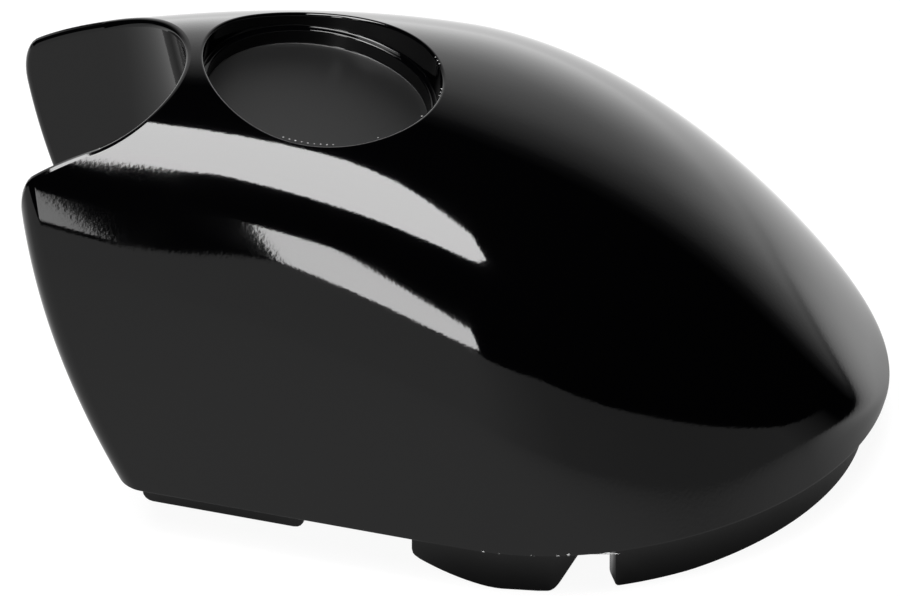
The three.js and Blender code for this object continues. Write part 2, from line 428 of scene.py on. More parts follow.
def place(p, along, column):
    """Point of the finished outer skin."""
    along = np.asarray(along, float)
    column = np.asarray(column, float)
    points, round_size = sharp_place(p, along, column)
    share = np.clip(1 - (points[:, 2] - p.edge) / round_size, 0, 1)
    fade = ease((along + 1) / 0.6)
    depth = fade * round_size * (1 - np.sqrt(1 - share**2))
    inward_x, inward_y = edge_direction(p, along)
    side = np.where(column < 1, 1.0, -1.0)
    points[:, 0] += inward_x * depth
    points[:, 1] += side * inward_y * depth
    return points


def skin_normal(p, along, column):
    """Outward direction of the skin."""
    step = 1e-4
    ahead = np.clip(along + step, -2, NOSE_END)
    behind = np.clip(along - step, -2, NOSE_BEHIND)
    up = np.clip(column + step, 0, 2)
    down = np.clip(column - step, 0, 2)
    run = place(p, ahead, column) - place(p, behind, column)
    climb = place(p, along, up) - place(p, along, down)
    normal = np.cross(run, climb)
    return normal / np.linalg.norm(normal, axis=1)[:, None]


def notch_frame(p, points):
    """Forward, sideways and axial place of points in the notch's own frame."""
    x = points[:, 0] + p.length / 2 - p.notch_setback
    z = points[:, 2] - p.edge - p.crown
    cos, sin = math.cos(p.notch_rake), math.sin(p.notch_rake)
    return x * cos + z * sin, points[:, 1], z * cos - x * sin


def from_notch_frame(p, forward, across, axial):
    """Points in the cap's frame from their places in the notch's frame."""
    cos, sin = math.cos(p.notch_rake), math.sin(p.notch_rake)
    x = forward * cos - axial * sin - p.length / 2 + p.notch_setback
    z = forward * sin + axial * cos + p.edge + p.crown
    return np.stack([x, across, z], -1)


def notch_gap(p, points):
    """Distance of points from the notch's wall, and the direction away from it."""
    forward, across, _ = notch_frame(p, points)
    side = math.pi / 2 - p.notch_flare
    around = np.arctan2(np.abs(across), forward) < side
    reach = np.hypot(forward, across)
    sin, cos = math.sin(p.notch_flare), math.cos(p.notch_flare)
    sign = np.where(across < 0, -1.0, 1.0)
    gap = np.where(around, reach, forward * sin + np.abs(across) * cos) - p.notch_radius
    away_f = np.where(around, forward / np.maximum(reach, 1e-9), sin)
    away_a = np.where(around, across / np.maximum(reach, 1e-9), sign * cos)
    rake_cos, rake_sin = math.cos(p.notch_rake), math.sin(p.notch_rake)
    return gap, np.stack([away_f * rake_cos, away_a, away_f * rake_sin], -1)


def wall_run(p, points):
    """Distance of wall points along the notch's outline from its front."""
    forward, across, axial = notch_frame(p, points)
    side = math.pi / 2 - p.notch_flare
    angle = np.arctan2(across, forward)
    back = (p.notch_radius * math.cos(side) - forward) / math.cos(p.notch_flare)
    straight = np.sign(across) * (p.notch_radius * side + back)
    return np.where(np.abs(angle) < side, p.notch_radius * angle, straight), axial


def wall_point(p, run, axial):
    """Wall point from its distance along the notch's outline and along its axis."""
    side = math.pi / 2 - p.notch_flare
    turn = np.clip(run / p.notch_radius, -side, side)
    over = np.maximum(np.abs(run) - p.notch_radius * side, 0)
    forward = p.notch_radius * np.cos(turn) - over * math.cos(p.notch_flare)
    across = p.notch_radius * np.sin(turn) + np.sign(run) * over * math.sin(p.notch_flare)
    return from_notch_frame(p, forward, across, axial)


def recess_origin(p):
    """Point of the crown line that the recess is centred on."""
    x = p.length / 2 - p.recess_setback
    return np.array([x, 0, p.edge + float(crown_rise(p, np.array([x]), 0.0)[0])])


def recess_frame(p, points):
    """Places of points across the recess, and above the crown along its axis."""
    offset = points - recess_origin(p)
    cos, sin = math.cos(p.recess_tilt), math.sin(p.recess_tilt)
    forward = offset[:, 0] * cos - offset[:, 2] * sin
    height = offset[:, 0] * sin + offset[:, 2] * cos
    return forward, offset[:, 1], height


def from_recess_frame(p, forward, across, height):
    """Points in the cap's frame from their places in the recess's frame."""
    cos, sin = math.cos(p.recess_tilt), math.sin(p.recess_tilt)
    points = np.stack([forward * cos + height * sin, across, height * cos - forward * sin], -1)
    return points + recess_origin(p)


def notch_edge(p):
    """Along and column values where the round of the notch's edge leaves the skin."""

    def solve(columns):
        low = np.full_like(columns, -1.95)
        high = np.full_like(columns, 1.0)
        for _ in range(34):
            along = (low + high) / 2
            centre = place(p, along, columns) - p.notch_edge * skin_normal(p, along, columns)
            inside = notch_gap(p, centre)[0] < p.notch_edge
            low = np.where(inside, along, low)
            high = np.where(inside, high, along)
        return along

    columns = np.linspace(0, 2, 1600)
    points = place(p, solve(columns), columns)
    travel = np.concatenate([[0], np.cumsum(np.linalg.norm(np.diff(points, axis=0), axis=1))])
    count = int(round(travel[-1] / LOOP_STEP))
    columns = np.interp(np.linspace(0, travel[-1], count + 1), travel, columns)
    columns = (columns + 2 - columns[::-1]) / 2
    return solve(columns), columns


def recess_edge(p):
    """Along and column values where the round of the recess rim leaves the skin."""
    angles = np.linspace(0, 2 * math.pi, RIM_POINTS, endpoint=False)
    radius = p.recess_radius + p.recess_step + p.rim_round
    wanted = np.stack([radius * np.cos(angles), radius * np.sin(angles)], -1)
    x = recess_origin(p)[0] + wanted[:, 0]
    start = start_place(p)
    along = (x + p.length / 2) / (start + p.length / 2)
    column = 1 + wanted[:, 1] / 16

    def at(a, c):
        centre = place(p, a, c) - p.rim_round * skin_normal(p, a, c)
        forward, across, _ = recess_frame(p, centre)
        return np.stack([forward, across], -1)

    step = 1e-5
    for _ in range(12):
        here = at(along, column) - wanted
        slope_a = (at(along + step, column) - wanted - here) / step
        slope_c = (at(along, column + step) - wanted - here) / step
        det = slope_a[:, 0] * slope_c[:, 1] - slope_a[:, 1] * slope_c[:, 0]
        along = along - (here[:, 0] * slope_c[:, 1] - here[:, 1] * slope_c[:, 0]) / det
        column = column - (slope_a[:, 0] * here[:, 1] - slope_a[:, 1] * here[:, 0]) / det
    return along, column, angles


def in_outline(outline, points):
    """Which flat points lie inside a closed outline."""
    inside = np.zeros(len(points), bool)
    before = np.roll(outline, 1, axis=0)
    for (x0, y0), (x1, y1) in zip(before, outline):
        if y0 == y1:
            continue
        crosses = (points[:, 1] < y0) != (points[:, 1] < y1)
        at = x0 + (points[:, 1] - y0) * (x1 - x0) / (y1 - y0)
        inside ^= crosses & (points[:, 0] < at)
    return inside


def triangles_of(flat, edges, wanted):
    """Triangles over flat points, for each patch between the given edges that is wanted.

    A patch counts when the middle of its largest triangle does.
    """
    made = geometry.delaunay_2d_cdt([Vector(q) for q in flat], edges, [], 0, 1e-7)
    if any(len(origin) != 1 for origin in made[3]):
        raise RuntimeError("two points of the skin fall together")
    name = [origin[0] for origin in made[3]]
    corners = np.array([[name[v] for v in face] for face in made[2]])
    first, second, third = (flat[corners[:, k]] for k in range(3))
    run, climb = second - first, third - first
    area = np.abs(run[:, 0] * climb[:, 1] - run[:, 1] * climb[:, 0]) / 2
    fences = {tuple(sorted(edge)) for edge in edges}
    beside = {}
    for k, (a, b, c) in enumerate(corners.tolist()):
        for edge in ((a, b), (b, c), (a, c)):
            beside.setdefault(tuple(sorted(edge)), []).append(k)
    linked = [[] for _ in corners]
    for edge, sharing in beside.items():
        if len(sharing) == 2 and edge not in fences:
            linked[sharing[0]].append(sharing[1])
            linked[sharing[1]].append(sharing[0])
    seen = np.zeros(len(corners), bool)
    chosen = []
    for start in range(len(corners)):
        if seen[start]:
            continue
        seen[start] = True
        patch = [start]
        for k in patch:
            for following in linked[k]:
                if not seen[following]:
                    seen[following] = True
                    patch.append(following)
        largest = max(patch, key=lambda k: area[k])
        if area[patch].sum() > 0.01 and wanted(flat[corners[largest]].mean(0)[None])[0]:
            chosen += patch
    return corners[chosen]


class Surface:
    """Points, directions and faces that grow into one mesh."""

    def __init__(self):
        self.points = []
        self.normals = []
        self.faces = []

    def add(self, points, normals=None):
        first = sum(len(block) for block in self.points)
        self.points.append(np.asarray(points, float))
        blank = np.zeros((len(points), 3))
        self.normals.append(blank if normals is None else np.asarray(normals, float))
        return np.arange(first, first + len(points))

    def face(self, *corners):
        self.faces.append(tuple(int(c) for c in corners))

    def strip(self, upper, lower, closed=False):
        """Quads between two rows of the same count."""
        count = len(upper)
        for k in range(count if closed else count - 1):
            following = (k + 1) % count
            self.face(upper[k], lower[k], lower[following], upper[following])

    def mesh(self, name):
        data = bpy.data.meshes.new(name)
        points = np.concatenate(self.points) * MM
        data.from_pydata(points.tolist(), [], self.faces)
        data.update()
        return data


def turn_between(start, end, share):
    """Direction part of the way round from one direction to another."""
    angle = np.arccos(np.clip((start * end).sum(1), -1, 1))[:, None]
    mixed = np.sin((1 - share) * angle) * start + np.sin(share * angle) * end
    return mixed / np.sin(angle)


def round_rows(surface, first, centres, radius, start, end):
    """Rows of a rolling round between two faces, from a row that is there already."""
    rows = [first]
    for step in range(1, ROUND_STEPS + 1):
        direction = turn_between(start, end, step / ROUND_STEPS)
        rows.append(surface.add(centres + radius * direction, direction))
    return rows


def skin_grid():
    """Along and column values of the skin's grid."""
    face = np.linspace(-1.8, -1, FACE_ROWS, endpoint=False)
    edge = np.linspace(-1, 0, ROUND_ROWS, endpoint=False)
    tail = np.linspace(0, 1, TAIL_ROWS, endpoint=False)
    nose = np.linspace(1, 2, NOSE_ROWS, endpoint=False)
    low = np.linspace(0, EDGE_BAND, 4, endpoint=False)
    near = np.concatenate([low, np.linspace(EDGE_BAND, 1, HALF_COLUMNS)])
    return np.concatenate([face, edge, tail, nose]), np.concatenate([near, 2 - near[-2::-1]])


def flat_scale(along, column):
    """Skin values laid out flat at about their real spacing."""
    return np.stack([np.interp(along, ALONG_KNOTS, ALONG_REACH), column * COLUMN_REACH], -1)


def add_skin(p, surface):
    """The skin with its two openings. Gives the edges that the other faces join."""
    rows, columns = skin_grid()
    grid_along, grid_column = (g.ravel() for g in np.meshgrid(rows, columns, indexing="ij"))
    shape = (len(rows), len(columns))
    points = place(p, grid_along, grid_column)
    forward, across, _ = recess_frame(p, points)
    rim = p.recess_radius + p.recess_step + p.rim_round
    ring = np.hypot(forward, across) - rim
    ring[points[:, 2] < p.edge + p.crown * 0.6] = 9
    gap = notch_gap(p, points)[0]
    clear = ((gap > p.notch_edge + CLEAR_OF_NOTCH) & (ring > CLEAR_OF_RIM)).reshape(shape)
    kept = clear[:-1, :-1] & clear[1:, :-1] & clear[:-1, 1:] & clear[1:, 1:]
    corner = np.zeros(shape, bool)
    for i in (0, 1):
        for j in (0, 1):
            corner[i : i + shape[0] - 1, j : j + shape[1] - 1] |= kept
    loop_along, loop_column = notch_edge(p)
    loose = (gap > p.notch_edge + POINT_CLEARANCE) & (ring > POINT_CLEARANCE)
    loose = loose.reshape(shape) & ~corner
    used = corner | loose
    normals = skin_normal(p, grid_along, grid_column)
    number = -np.ones(shape[0] * shape[1], int)
    chosen = np.where(used.ravel())[0]
    number[chosen] = surface.add(points[chosen], normals[chosen])
    number = number.reshape(shape)
    for i, j in zip(*np.where(kept)):
        surface.face(number[i, j], number[i + 1, j], number[i + 1, j + 1], number[i, j + 1])

    loop_points = place(p, loop_along, loop_column)
    loop_normals = skin_normal(p, loop_along, loop_column)
    loop = surface.add(loop_points, loop_normals)
    rim_along, rim_column, angles = recess_edge(p)
    rim_points = place(p, rim_along, rim_column)
    rim_normals = skin_normal(p, rim_along, rim_column)
    rim_row = surface.add(rim_points, rim_normals)

    seam = []
    zone = set()
    for i, j in zip(*np.where(~kept)):
        for di in (0, 1):
            for dj in (0, 1):
                if used[i + di, j + dj]:
                    zone.add((i + di, j + dj))
    last_i, last_j = kept.shape
    for i in range(last_i):
        for j in range(last_j + 1):
            left = kept[i, j - 1] if j > 0 else False
            right = kept[i, j] if j < last_j else False
            if left != right and 0 < j < last_j:
                seam.append(((i, j), (i + 1, j)))
            elif j in (0, last_j) and not (left or right) and used[i, j] and used[i + 1, j]:
                seam.append(((i, j), (i + 1, j)))
    for j in range(last_j):
        for i in range(1, last_i):
            if kept[i - 1, j] != kept[i, j]:
                seam.append(((i, j), (i, j + 1)))
    zone = sorted(zone)
    flat_index = {key: k for k, key in enumerate(zone)}
    zone_i = np.array([key[0] for key in zone])
    zone_j = np.array([key[1] for key in zone])
    flat_grid = flat_scale(rows[zone_i], columns[zone_j])
    flat_loop = flat_scale(loop_along, loop_column)
    flat_rim = flat_scale(rim_along, rim_column)
    flat = np.concatenate([flat_grid, flat_loop, flat_rim])
    names = np.concatenate([number[zone_i, zone_j], loop, rim_row])
    at_loop = len(flat_grid)
    at_rim = at_loop + len(flat_loop)
    edges = [(flat_index[a], flat_index[b]) for a, b in seam]
    edges += [(at_loop + k, at_loop + k + 1) for k in range(len(flat_loop) - 1)]
    edges += [(at_rim + k, at_rim + (k + 1) % RIM_POINTS) for k in range(RIM_POINTS)]
    for end, column in ((0, 0), (len(flat_loop) - 1, shape[1] - 1)):
        ahead = [key for key in zone if key[1] == column]
        edges.append((at_loop + end, flat_index[min(ahead)]))
    flat = flat + 0.015 * np.sin(flat[:, ::-1] * 2.3 + 0.4)
    outline = flat[at_loop:at_rim]
    row_lines = flat_scale(rows, np.zeros_like(rows))[:, 0]
    column_lines = columns * COLUMN_REACH

    def open_skin(spots):
        outside = spots[:, 0] > np.interp(spots[:, 1], outline[:, 1], outline[:, 0])
        outside &= ~in_outline(flat[at_rim:], spots)
        cell_i = np.clip(np.searchsorted(row_lines, spots[:, 0]) - 1, 0, last_i - 1)
        cell_j = np.clip(np.searchsorted(column_lines, spots[:, 1]) - 1, 0, last_j - 1)
        return outside & ~kept[cell_i, cell_j]

    for a, b, c in triangles_of(flat, edges, open_skin):
        surface.face(names[a], names[b], names[c])

    tip = surface.add([[tip_place(p), 0, p.edge]], [[math.cos(0.62), 0, math.sin(0.62)]])[0]
    last = number[-1]
    for j in range(shape[1] - 1):
        surface.face(last[j], tip, last[j + 1])
    near = [k for k in number[:, 0] if k >= 0]
    far = [k for k in number[:, -1] if k >= 0]
    return {
        "loop": loop,
        "loop_points": loop_points,
        "loop_normals": loop_normals,
        "rim": rim_row,
        "rim_points": rim_points,
        "rim_normals": rim_normals,
        "angles": angles,
        "near": near,
        "far": far,
        "tip": tip,
    }


def add_notch(p, surface, skin):
    """The rounded edge and the wall of the notch. Gives the wall's line on the lower edge."""
    centres = skin["loop_points"] - p.notch_edge * skin["loop_normals"]
    away = notch_gap(p, centres)[1]
    rows = round_rows(
        surface, skin["loop"], centres, p.notch_edge, skin["loop_normals"], -away
    )
    every = np.concatenate(surface.points)
    for row in rows[1:]:
        for end in (0, -1):
            every[row[end], 2] = p.edge
    surface.points = [every]
    for upper, lower in zip(rows, rows[1:]):
        surface.strip(upper, lower)
    edge_row = rows[-1]
    run, axial = wall_run(p, every[edge_row])
    steps = max(4, int((run.max() - run.min()) / 0.45))
    foot_run = np.linspace(run[-1], run[0], steps + 1)[1:-1]
    forward = notch_frame(p, wall_point(p, foot_run, np.zeros_like(foot_run)))[0]
    drop = (-p.crown - forward * math.sin(p.notch_rake)) / math.cos(p.notch_rake)
    outline = np.concatenate([np.stack([run, axial], -1), np.stack([foot_run, drop], -1)])
    foot_points = wall_point(p, foot_run, drop)
    foot_points[:, 2] = p.edge
    foot = surface.add(foot_points, -notch_gap(p, foot_points)[1])
    grid_run, grid_axial = (
        g.ravel()
        for g in np.meshgrid(
            np.arange(run.min(), run.max(), 0.5), np.arange(axial.min(), axial.max(), 0.6)
        )
    )
    inner = np.stack([grid_run, grid_axial], -1)
    inner = inner[in_outline(outline, inner)]
    near = np.array([np.hypot(*(outline - q).T).min() for q in inner])
    inner = inner[near > 0.2]
    inner_points = wall_point(p, inner[:, 0], inner[:, 1])
    inner_names = surface.add(inner_points, -notch_gap(p, inner_points)[1])
    flat = np.concatenate([outline, inner])
    names = np.concatenate([edge_row, foot, inner_names])
    count = len(outline)
    half = np.abs(run).max()
    flat[:, 1] -= 0.03 * (1 - (flat[:, 0] / half) ** 2)
    border = [(k, (k + 1) % count) for k in range(count)]
    for a, b, c in triangles_of(flat, border, lambda spots: in_outline(flat[:count], spots)):
        surface.face(names[c], names[b], names[a])
    near_side = [row[0] for row in rows]
    far_side = [row[-1] for row in rows]
    return near_side, far_side, list(foot)


def add_recess(p, surface, skin):
    """The rounded rim, the stepped wall and the floor of the badge seat."""
    centres = skin["rim_points"] - p.rim_round * skin["rim_normals"]
    cos, sin = np.cos(skin["angles"]), np.sin(skin["angles"])
    tilt = p.recess_tilt
    inward = -np.stack([cos * math.cos(tilt), sin, -cos * math.sin(tilt)], -1)
    rows = round_rows(surface, skin["rim"], centres, p.rim_round, skin["rim_normals"], inward)
    height = recess_frame(p, centres)[2]
    mouth = p.recess_radius + p.recess_step
    small = p.corner_round
    quarter = [math.radians(turn) for turn in (30, 60, 90)]
    inward_bend = [(small * (1 - math.cos(a)), small * (1 - math.sin(a))) for a in quarter]
    outward_bend = [(small * (1 - math.sin(a)), small * (1 - math.cos(a))) for a in quarter]
    profile = []
    for share in (0.25, 0.5, 0.75, 1.0):
        profile.append((mouth, height + (small - p.step_depth - height) * share))
    profile += [(mouth - across, rise - p.step_depth) for across, rise in inward_bend]
    profile.append((p.recess_radius + small, -p.step_depth))
    profile += [(p.recess_radius + across, -p.step_depth - drop) for across, drop in outward_bend]
    profile.append((p.recess_radius, -p.recess_depth + small))
    profile += [(p.recess_radius - across, rise - p.recess_depth) for across, rise in inward_bend]
    for share in (0.93, 0.75, 0.5, 0.25):
        profile.append((p.recess_radius * share, -p.recess_depth))
    for radius, level in profile:
        level = np.broadcast_to(level, cos.shape)
        rows.append(surface.add(from_recess_frame(p, radius * cos, radius * sin, level)))
    for upper, lower in zip(rows, rows[1:]):
        surface.strip(lower, upper, closed=True)
    centre = from_recess_frame(p, np.zeros(1), np.zeros(1), np.full(1, -p.recess_depth))
    middle = surface.add(centre)[0]
    for k in range(RIM_POINTS):
        surface.face(rows[-1][k], rows[-1][(k + 1) % RIM_POINTS], middle)


def outer_shell(p):
    """Closed solid of the cap's outside, with a flat underside."""
    surface = Surface()
    skin = add_skin(p, surface)
    near_side, far_side, foot = add_notch(p, surface, skin)
    add_recess(p, surface, skin)
    loop = skin["near"] + [skin["tip"]] + skin["far"][::-1] + far_side + foot + near_side[::-1]
    surface.face(*loop[::-1])
    data = surface.mesh("outer")
    return data, np.concatenate(surface.points), np.concatenate(surface.normals)


def loft_mesh(p, wall):
    """Closed solid inside the skin at a wall's depth, carried down past the edge."""
    tail, nose = (np.linspace(k, k + 1, steps, endpoint=False) for k, steps in enumerate(LOFT_ROWS))
    rows = np.concatenate([tail, nose])
    columns = np.linspace(0, 2, LOFT_COLUMNS + 1)
    grid_along, grid_column = (g.ravel() for g in np.meshgrid(rows, columns, indexing="ij"))
    points, _ = sharp_place(p, grid_along, grid_column, wall)
    points = points.reshape(len(rows), len(columns), 3)
    points[:, :, 2] -= 0.02
    low_near = points[:, :1].copy()
    low_far = points[:, -1:].copy()
    low_near[:, :, 2] = p.edge - FOOT
    low_far[:, :, 2] = p.edge - FOOT
    ring = np.concatenate([low_near, points, low_far], axis=1)
    surface = Surface()
    names = surface.add(ring.reshape(-1, 3)).reshape(ring.shape[:2])
    across = ring.shape[1]
    for i in range(len(rows) - 1):
        for j in range(across):
            k = (j + 1) % across
            surface.face(names[i, j], names[i + 1, j], names[i + 1, k], names[i, k])
    crown = across // 2
    for k in range(crown - 1):
        surface.face(names[0, across - 1 - k], names[0, across - 2 - k], names[0, k + 1], names[0, k])
    surface.face(names[0, crown + 1], names[0, crown], names[0, crown - 1])
    tip = surface.add([[tip_place(p, wall), 0, p.edge - FOOT]])[0]
    for j in range(across):
        surface.face(names[-1, j], tip, names[-1, (j + 1) % across])
    return surface.mesh("loft")


def object_of(data, name):
    """An object for a mesh, linked to the scene."""
    made = bpy.data.objects.new(name, data)
    bpy.context.scene.collection.objects.link(made)
    return made


def only(chosen):
    """Selects one object and nothing else."""
    bpy.ops.object.select_all(action="DESELECT")
    chosen.select_set(True)
    bpy.context.view_layer.objects.active = chosen


def boolean(target, tool, operation):
    """Joins or cuts with another solid, which is then removed."""
    only(target)
    change = target.modifiers.new(operation.lower(), "BOOLEAN")
    change.object = tool
    change.operation = operation
    change.solver = "EXACT"
    bpy.ops.object.modifier_apply(modifier=change.name)
    bpy.data.objects.remove(tool)


def notch_block(p, margin):
    """Solid of the notch grown by a margin."""
    radius = p.notch_radius + margin
    side = math.pi / 2 - p.notch_flare
    turn = np.linspace(-side, side, 90)
    reach = p.notch_setback + radius + 8
    wide = radius * math.sin(side) + (reach + radius * math.cos(side)) * math.tan(p.notch_flare)
    forward = np.concatenate([radius * np.cos(turn), [-reach, -reach]])
    across = np.concatenate([radius * np.sin(turn), [wide, -wide]])
    surface = Surface()
    low = surface.add(from_notch_frame(p, forward, across, np.full(len(forward), -40.0)))
    high = surface.add(from_notch_frame(p, forward, across, np.full(len(forward), 12.0)))
    surface.strip(high, low, closed=True)
    surface.face(*high)
    surface.face(*low[::-1])
    return object_of(surface.mesh("notch"), "notch_block")


def recess_block(p):
    """Solid that backs the recess inside the shell."""
    height = p.recess_depth + p.recess_wall + 6
    middle = from_recess_frame(p, *(np.array([v]) for v in (0.0, 0.0, 6 - height / 2)))[0]
    bpy.ops.object.select_all(action="DESELECT")
    bpy.ops.mesh.primitive_cylinder_add(
        vertices=120,
        radius=(p.recess_radius + p.recess_step + p.recess_wall) * MM,
        depth=height * MM,
        location=[v * MM for v in middle],
        rotation=(0, p.recess_tilt, 0),
    )
    block = bpy.context.object
    bpy.ops.object.transform_apply(location=True, rotation=True, scale=True)
    return block


def lip_sweep(p, stations, top):
    """Solid band through stations of along value, side and foot height."""
    r = p.lip_round
    surface = Surface()
    rings = []
    quarter = [math.radians(a) for a in (0, 30, 60, 90)]
    for along, far, foot in stations:
        outer = lip_line(p, along, far, p.lip_inset)
        inner = lip_line(p, along, far, p.lip_inset + p.lip_thickness)
        inward = (inner - outer) / np.linalg.norm(inner - outer)
        width = np.linalg.norm(inner - outer)
        ring = [(0, top)]
        ring += [(r - r * math.cos(a), foot + r - r * math.sin(a)) for a in quarter]
        ring += [(width - r + r * math.sin(a), foot + r - r * math.cos(a)) for a in quarter]
        ring += [(width, top)]
        points = [[*(outer + inward * d), min(z, top)] for d, z in ring]
        rings.append(surface.add(points))
    count = len(rings[0])
    for a, b in zip(rings, rings[1:]):
        for k in range(count):
            following = (k + 1) % count
            surface.face(a[k], a[following], b[following], b[k])
    surface.face(*rings[0][::-1])
    surface.face(*rings[-1])
    return surface.mesh("lip")


def lip_line(p, along, far, inset):
    """Plan place of a lip's face behind the outer edge."""
    reach = max(along, 0.0)
    edge, _ = sharp_place(p, np.array([reach]), np.array([0.0]))
    inward = np.array([math.sin(p.taper), math.cos(p.taper)])
    if along > 1:
        inward = np.array([direction[0] for direction in edge_direction(p, np.array([along]))])
    place_xy = edge[0, :2] + inset * inward
    before = min(along, 0.0) * (start_place(p) - tail_end(p, p.edge) - p.tail_round)
    place_xy += before * np.array([1, -math.tan(p.taper)])
    if far:
        place_xy[1] = -place_xy[1]
    return place_xy


def along_of(p, x):
    """Along value of the near lower edge at a place along the length."""
    steps = np.linspace(0, NOSE_END, 6000)
    points, _ = sharp_place(p, steps, np.zeros_like(steps))
    if x < points[0, 0]:
        return float((x - points[0, 0]) / (start_place(p) - points[0, 0]))
    return float(np.interp(x, points[:, 0], steps))


def lips(p):
    """The rear tabs, and the middle tabs and nose lip that the skin trims, as solids."""
    top = p.edge + p.lip_root
    plain, trimmed = [], []
    # Shape of a rounded corner: run and rise as shares of its size
    round_run = np.array([0, 0.08, 0.3, 0.6, 1])
    round_rise = np.array([1, 0.62, 0.28, 0.08, 0])
    rear = float(tail_end(p, np.array([p.edge]))[0]) + p.rear_start
    corner_run = p.rear_corner * round_run
    corner_rise = p.rear_corner * round_rise
    straight = np.linspace(1.2, p.rear_length - 1.05, 8)
    rear_x = np.concatenate([corner_run, straight, p.rear_length - corner_run[::-1]])
    rear_z = np.concatenate([corner_rise, np.zeros(8), corner_rise[::-1]])
    start = p.length / -2 + p.middle_start
    end = start + p.middle_length
    lead = np.linspace(0, p.middle_lead, 13)[1:]
    corner_x = start + np.array([0, 0.05, 0.15])
    corner_z = p.middle_rise + np.array([0.3, 0.09, -0.03])
    slope = math.tan(p.middle_slope)
    bend = np.linspace(-p.middle_round, p.middle_round, 7)
    bend_z = slope * (bend + p.middle_round) ** 2 / (4 * p.middle_round)
    last = np.array([p.middle_round, 0])
    middle_x = np.concatenate(
        [corner_x, start + lead, [start + p.middle_lead + 2], end - p.edge / slope + bend, end - last / slope]
    )
    middle_z = np.concatenate(
        [corner_z, p.middle_rise * (1 - lead / p.middle_lead) ** 2, [0], bend_z, p.edge - last]
    )
    for far in (False, True):
        order = -1 if far else 1
        stations = [
            (along_of(p, rear + x), far, p.edge - p.rear_drop + z) for x, z in zip(rear_x, rear_z)
        ]
        plain.append(lip_sweep(p, stations[::order], top - p.rear_short))
        stations = [(along_of(p, x), far, z) for x, z in zip(middle_x, middle_z)]
        trimmed.append(lip_sweep(p, stations[::order], top))
    front = end + p.nose_gap
    first = along_of(p, front)
    run = np.concatenate([[0, 0.0012, 0.005, 0.01], np.linspace(0.02, 1, 60)])
    rise = np.interp(run, [0, 0.0012, 0.005, 0.01, 1], [0.2, 0.11, 0.02, 0, 0])
    along = first + (LIP_END - first) * run
    edge, _ = sharp_place(p, along, np.zeros_like(along))
    share = (edge[:, 0] - front - p.nose_delay) / (p.length / 2 - front)
    height = rise + p.nose_rise * np.clip(share, 0, None)
    near = [(a, False, z) for a, z in zip(along, height)]
    far = [(a, True, z) for a, _, z in near[::-1]]
    trimmed.append(lip_sweep(p, near + far, top))
    return plain, trimmed


def corner_directions(data, points, normals):
    """Sets the mesh's corner directions from the skin's own, away from its sharp edges."""
    tree = kdtree.KDTree(len(points))
    for k, q in enumerate(points * MM):
        tree.insert(q, k)
    tree.balance()
    known = np.zeros((len(data.vertices), 3))
    for vertex in data.vertices:
        _, k, distance = tree.find(vertex.co)
        if distance < 2e-6:
            known[vertex.index] = normals[k]
    corner_vertex = np.zeros(len(data.loops), int)
    data.loops.foreach_get("vertex_index", corner_vertex)
    plain = np.zeros(len(data.loops) * 3)
    data.corner_normals.foreach_get("vector", plain)
    plain = plain.reshape(-1, 3)
    face_of = np.zeros(len(data.loops), int)
    face_normal = np.zeros((len(data.polygons), 3))
    for polygon in data.polygons:
        face_normal[polygon.index] = polygon.normal
        face_of[polygon.loop_start : polygon.loop_start + polygon.loop_total] = polygon.index
    wanted = known[corner_vertex]
    agrees = (wanted * face_normal[face_of]).sum(1) > 0.6
    final = np.where(agrees[:, None], wanted, plain)
    data.normals_split_custom_set(final.tolist())


def add_node(tree, kind, **values):
    """A shader node with its settings."""
    node = tree.nodes.new(kind)
    for name, value in values.items():
        setattr(node, name, value)
    return node


